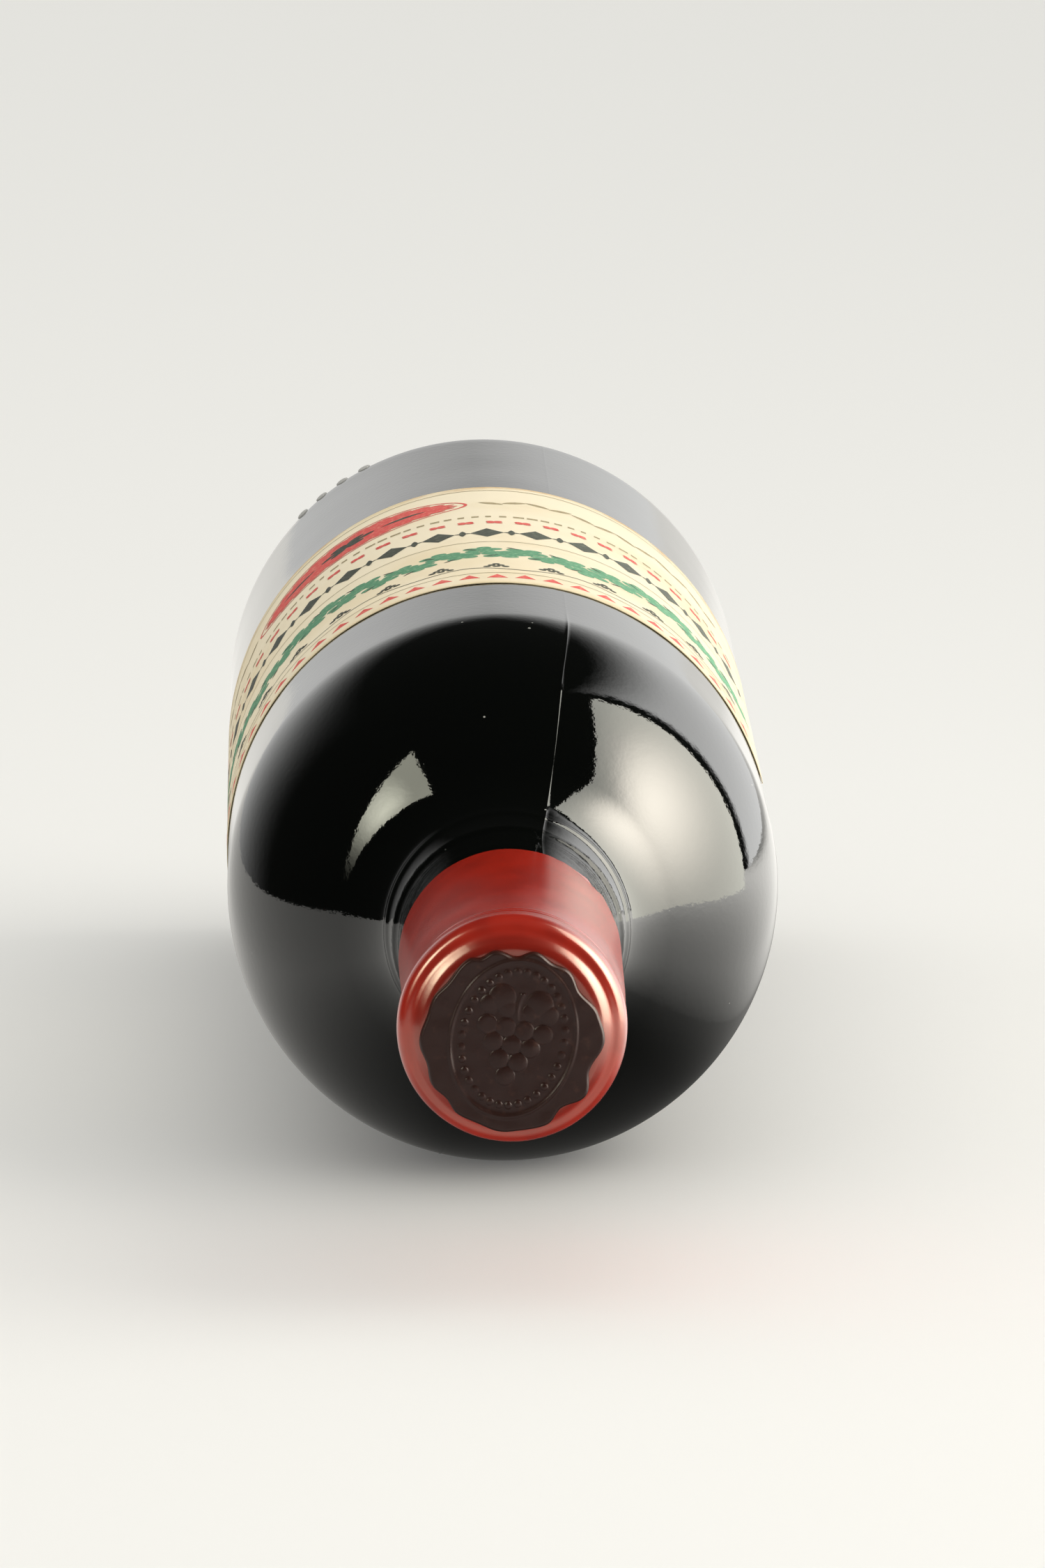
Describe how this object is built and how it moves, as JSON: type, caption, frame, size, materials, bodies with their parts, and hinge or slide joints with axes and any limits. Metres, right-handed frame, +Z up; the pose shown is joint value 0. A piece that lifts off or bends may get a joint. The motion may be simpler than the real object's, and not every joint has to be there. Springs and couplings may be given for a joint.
{
  "type": "wine bottle",
  "caption": "Full dark glass wine bottle lying on its side, with a red neck capsule, a scalloped brown seal on its top and a cream front label.",
  "frame": {"origin": "bottom centre of the bounding box, on the surface the bottle lies on", "axes": "+Y along the bottle's axis from its neck to its base, +Z up, +X across"},
  "size_m": [0.0765, 0.3016, 0.0758],
  "materials": {
    "dark_glass": "glossy, near black with the red wine behind it",
    "red_capsule": "satin lacquer on a spun metal skin",
    "brown_seal": "satin, pressed relief",
    "cream_paper": null
  },
  "bodies": {
    "root": {"glass_bottle": "dark_glass", "capsule": "red_capsule", "seal": "brown_seal", "front_label": "cream_paper"}
  },
  "joints": []
}
